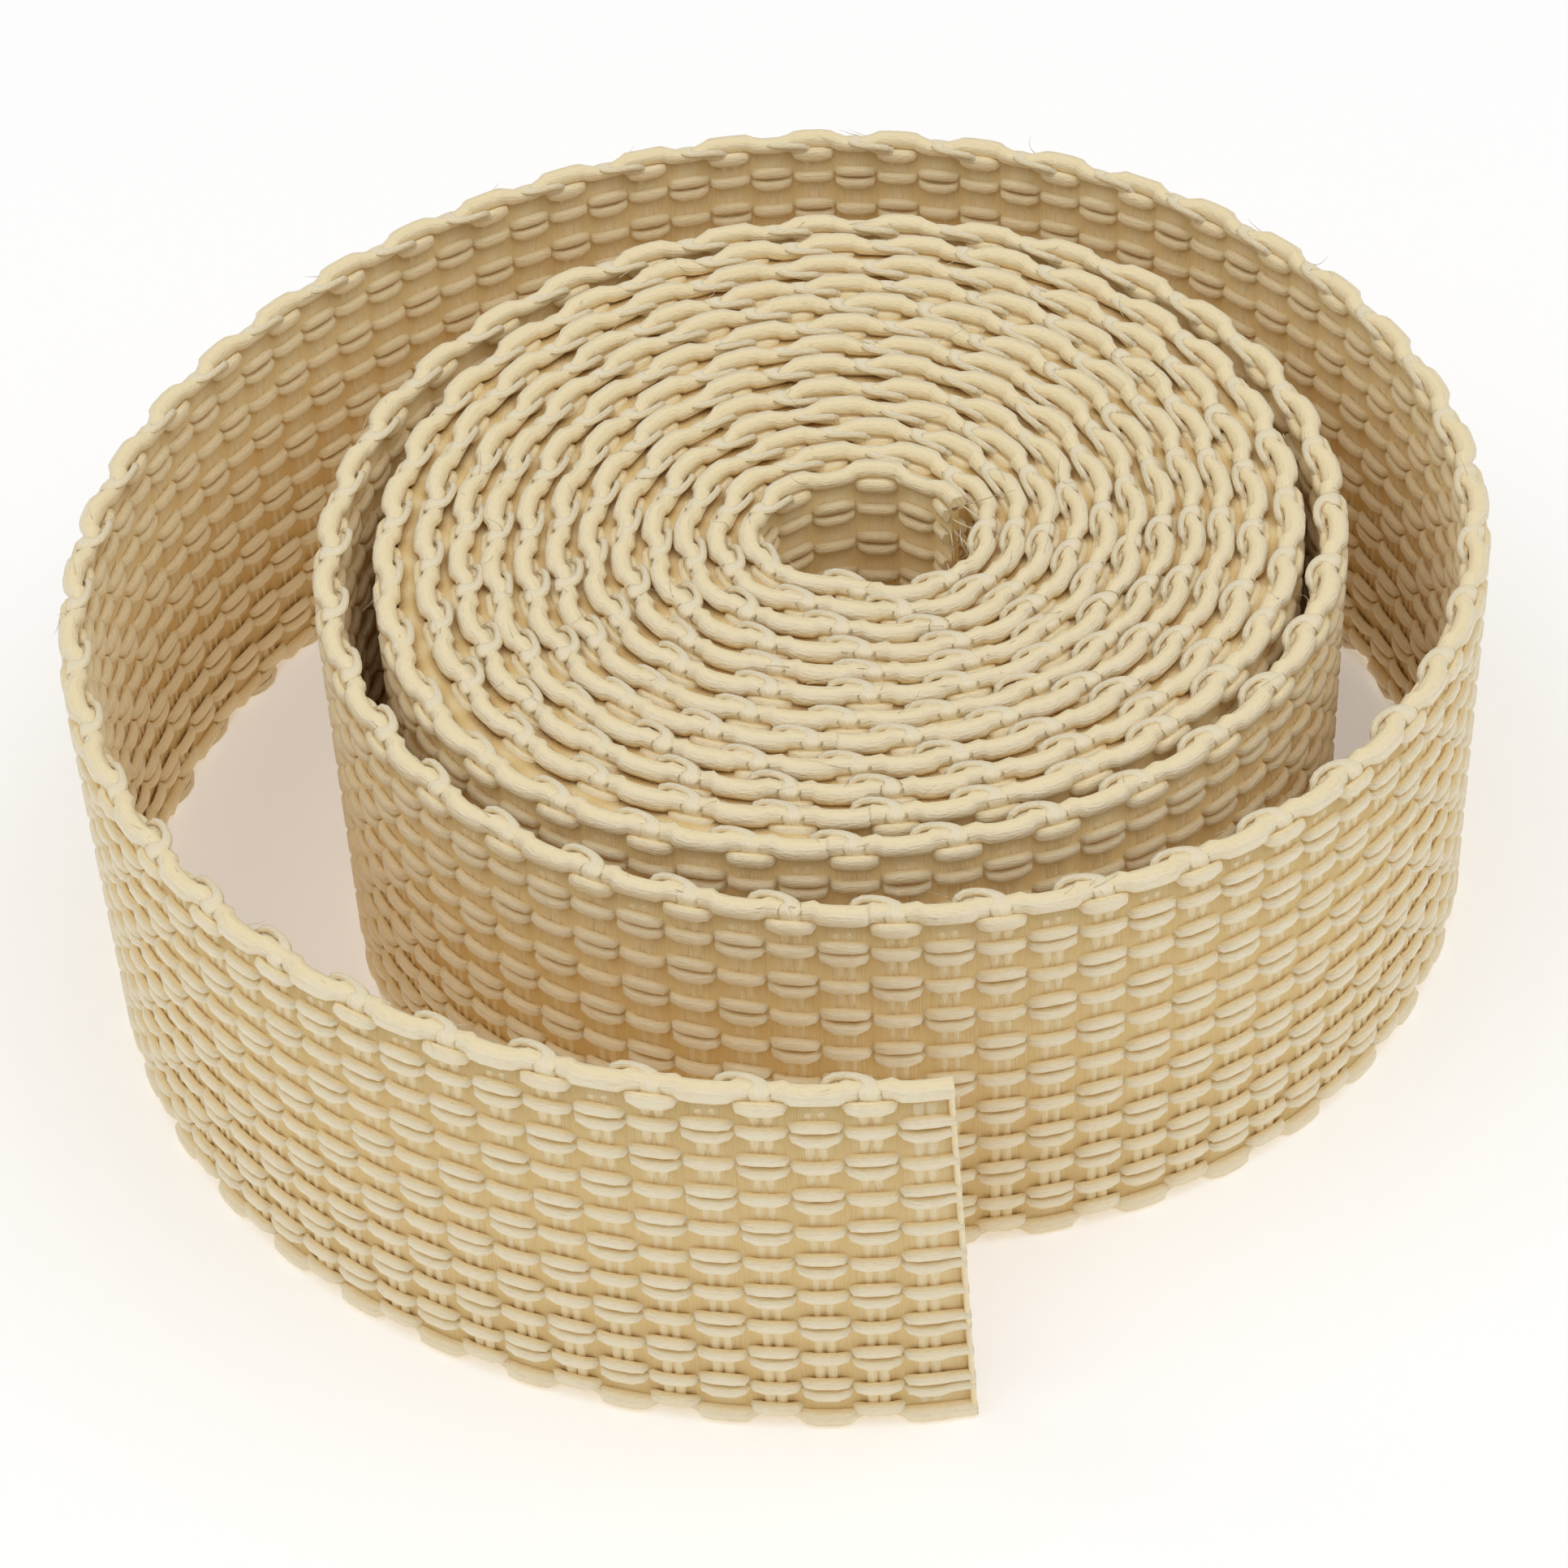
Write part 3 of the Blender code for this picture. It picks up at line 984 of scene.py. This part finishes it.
class WEAVE_OT_wound(bpy.types.Operator):
    """Weave the lengthwise ends of the wound turns, whole where both faces can be seen"""
    bl_idname = "weave.wound"
    bl_label = "Ends of the Wound Turns"

    def execute(self, context):
        weave = new_weave(context)
        for name, first, last, ends, fineness in WOUND_STRETCHES:
            yarn = YarnMesh()
            start = weave.border_near(first * FULL_TURN)
            stop = min(weave.border_near(last * FULL_TURN), weave.winding.length)
            weave.add_ends(yarn, ends, start, stop, *fineness)
            yarn.build(name, lengthwise_material(context))
        return {"FINISHED"}


class WEAVE_OT_crossing(bpy.types.Operator):
    """Run the crosswise yarn to and fro between the edges"""
    bl_idname = "weave.crossing"
    bl_label = "Crosswise Yarn"

    def execute(self, context):
        weave = new_weave(context)
        colours = context.scene.roll_colours
        material = yarn_material("crosswise yarn", colours, CROSSWISE_TILE, CROSSING_LANES,
                                 crosswise=True)
        pressed = int(weave.column_of(weave.winding.along_at(PRESSED_TURN * FULL_TURN)) / 2)
        last = int(weave.column_of(weave.winding.length - weave.pitch) / 2)
        yarn = YarnMesh()
        weave.add_crossing(yarn, np.arange(1, pressed), CROSSING_SIDES)
        yarn.build("crosswise_yarn", material)
        turns = YarnMesh()
        weave.add_crossing_edges(turns, np.arange(pressed, last), HIDDEN_CROSSING_SIDES)
        turns.build("crosswise_turns", material)
        return {"FINISHED"}


class WEAVE_OT_cut(bpy.types.Operator):
    """Seal the cut end and lay the last run of crosswise yarn beside it"""
    bl_idname = "weave.cut"
    bl_label = "Cut End"

    def execute(self, context):
        weave = new_weave(context)
        add_cut_edge(weave, lengthwise_material(context))
        yarn = YarnMesh()
        weave.add_first_run(yarn, CROSSING_SIDES)
        yarn.build("first_crosswise_run", bpy.data.materials["crosswise yarn"])
        return {"FINISHED"}


class WEAVE_OT_fibres(bpy.types.Operator):
    """Add the fibres that stand loose on the upper edge and the frayed end in the core"""
    bl_idname = "weave.fibres"
    bl_label = "Loose Fibres"

    def execute(self, context):
        weave = new_weave(context)
        random, winding = weave.random, weave.winding
        first, last = STRAY_MARGINS
        along = random.uniform(first, winding.length - last, STRAY_FIBRES)
        depth = random.uniform(*STRAY_DEPTHS, STRAY_FIBRES)
        roots = winding.place(along, depth, random.uniform(-STRAY_LIFT, STRAY_LIFT, STRAY_FIBRES))
        ways = unit(winding.place(along + STRAY_STEP, depth, 0.0)
                    - winding.place(along - STRAY_STEP, depth, 0.0))
        ways *= random.choice([-1.0, 1.0], (STRAY_FIBRES, 1))
        ways[:, 2] += random.uniform(0.0, STRAY_RISE, STRAY_FIBRES)
        add_fibres(weave, "stray_fibres", lengthwise_material(context), roots, ways,
                   STRAY_REACH * MM, FIBRE_GIRTH * MM)
        end = np.full(CORE_FIBRES, winding.length)
        depth = random.uniform(CORE_MARGIN, weave.width - CORE_MARGIN, CORE_FIBRES)
        lift = random.uniform(-CORE_LIFT, CORE_LIFT, CORE_FIBRES)
        roots = winding.place(end - CORE_ROOT, depth, lift)
        ways = unit(winding.place(end, depth, 0.0) - winding.place(end - CORE_STEP, depth, 0.0))
        ways += random.normal(0, CORE_SPREAD, (CORE_FIBRES, 3))
        add_fibres(weave, "core_fringe", lengthwise_material(context), roots, ways,
                   CORE_REACH * MM, 2 * FIBRE_GIRTH * MM)
        return {"FINISHED"}


class WEAVE_OT_declare(bpy.types.Operator):
    """Work out the flat size of the cloth, its width by its wound length, and do nothing more with
    it
    """
    bl_idname = "weave.declare"
    bl_label = "Cut Size of the Cloth"

    def execute(self, context):
        weave = new_weave(context)
        flat = (weave.width * MM, weave.winding.length * MM)
        return {"FINISHED"}


class WEAVE_OT_stage(bpy.types.Operator):
    """Set up the camera, the soft studio light and the pale floor"""
    bl_idname = "weave.stage"
    bl_label = "Studio"

    def execute(self, context):
        scene = context.scene
        data = bpy.data.cameras.new("camera")
        data.lens = CAMERA_LENS
        data.sensor_width = CAMERA_SENSOR
        data.clip_start, data.clip_end = CAMERA_CLIP
        camera = bpy.data.objects.new("camera", data)
        elevation = math.radians(CAMERA_ELEVATION)
        back = Vector((0.0, -math.cos(elevation), math.sin(elevation)))
        camera.location = Vector(CAMERA_TARGET) * MM + back * CAMERA_DISTANCE * MM
        camera.rotation_mode = "QUATERNION"
        roll = Quaternion((0.0, 0.0, 1.0), math.radians(CAMERA_ROLL))
        camera.rotation_quaternion = (-back).to_track_quat("-Z", "Y") @ roll
        scene.collection.objects.link(camera)
        scene.camera = camera
        for name, place, aim, size, power in LAMPS:
            lamp = bpy.data.lights.new(name, "AREA")
            lamp.shape = "RECTANGLE"
            lamp.size, lamp.size_y = size
            lamp.energy = power
            holder = bpy.data.objects.new(name, lamp)
            holder.location = place
            holder.rotation_mode = "QUATERNION"
            holder.rotation_quaternion = (Vector(aim) - Vector(place)).to_track_quat("-Z", "Y")
            scene.collection.objects.link(holder)
        world = bpy.data.worlds.new("studio")
        world.use_nodes = True
        background = world.node_tree.nodes["Background"]
        background.inputs["Color"].default_value = (1.0, 1.0, 1.0, 1.0)
        background.inputs["Strength"].default_value = WORLD_STRENGTH
        scene.world = world
        scene.view_settings.view_transform = "Standard"
        scene.cycles.diffuse_bounces = LIGHT_BOUNCES
        mesh = bpy.data.meshes.new("floor")
        signs = ((-1, -1), (1, -1), (1, 1), (-1, 1))
        mesh.from_pydata([(FLOOR_REACH * x, FLOOR_REACH * y, 0) for x, y in signs],
                         [], [(0, 1, 2, 3)])
        floor = bpy.data.objects.new("floor", mesh)
        white = colour(scene.roll_colours.floor)
        shader = Shader("studio floor", Roughness=0.9, Specular_IOR_Level=0.1, Base_Color=white,
                        Emission_Color=white, Emission_Strength=FLOOR_GLOW)
        mesh.materials.append(shader.material)
        scene.collection.objects.link(floor)
        floor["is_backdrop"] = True
        return {"FINISHED"}


class WEAVE_PT_roll(bpy.types.Panel):
    """Lists the sizes, the colours and the steps of the roll"""
    bl_idname = "WEAVE_PT_roll"
    bl_label = "Webbing Roll"
    bl_space_type = "VIEW_3D"
    bl_region_type = "UI"
    bl_category = "Webbing Roll"

    def draw(self, context):
        layout = self.layout
        for group in (context.scene.roll_sizes, context.scene.roll_colours):
            box = layout.box()
            for name in group.__annotations__:
                box.prop(group, name)
        for step in STEPS:
            layout.operator(step.bl_idname)


STEPS = (WEAVE_OT_ground, WEAVE_OT_loop, WEAVE_OT_wound, WEAVE_OT_crossing, WEAVE_OT_cut,
         WEAVE_OT_fibres, WEAVE_OT_declare, WEAVE_OT_stage)
CLASSES = (RollSizes, RollColours, *STEPS, WEAVE_PT_roll)


def register():
    for made in CLASSES:
        bpy.utils.register_class(made)
    bpy.types.Scene.roll_sizes = bpy.props.PointerProperty(type=RollSizes)
    bpy.types.Scene.roll_colours = bpy.props.PointerProperty(type=RollColours)


def unregister():
    del bpy.types.Scene.roll_colours
    del bpy.types.Scene.roll_sizes
    for made in reversed(CLASSES):
        bpy.utils.unregister_class(made)


def main():
    register()
    bpy.ops.weave.ground()
    bpy.ops.weave.loop()
    bpy.ops.weave.wound()
    bpy.ops.weave.crossing()
    bpy.ops.weave.cut()
    bpy.ops.weave.fibres()
    bpy.ops.weave.declare()
    bpy.ops.weave.stage()


if __name__ == "__main__":
    main()
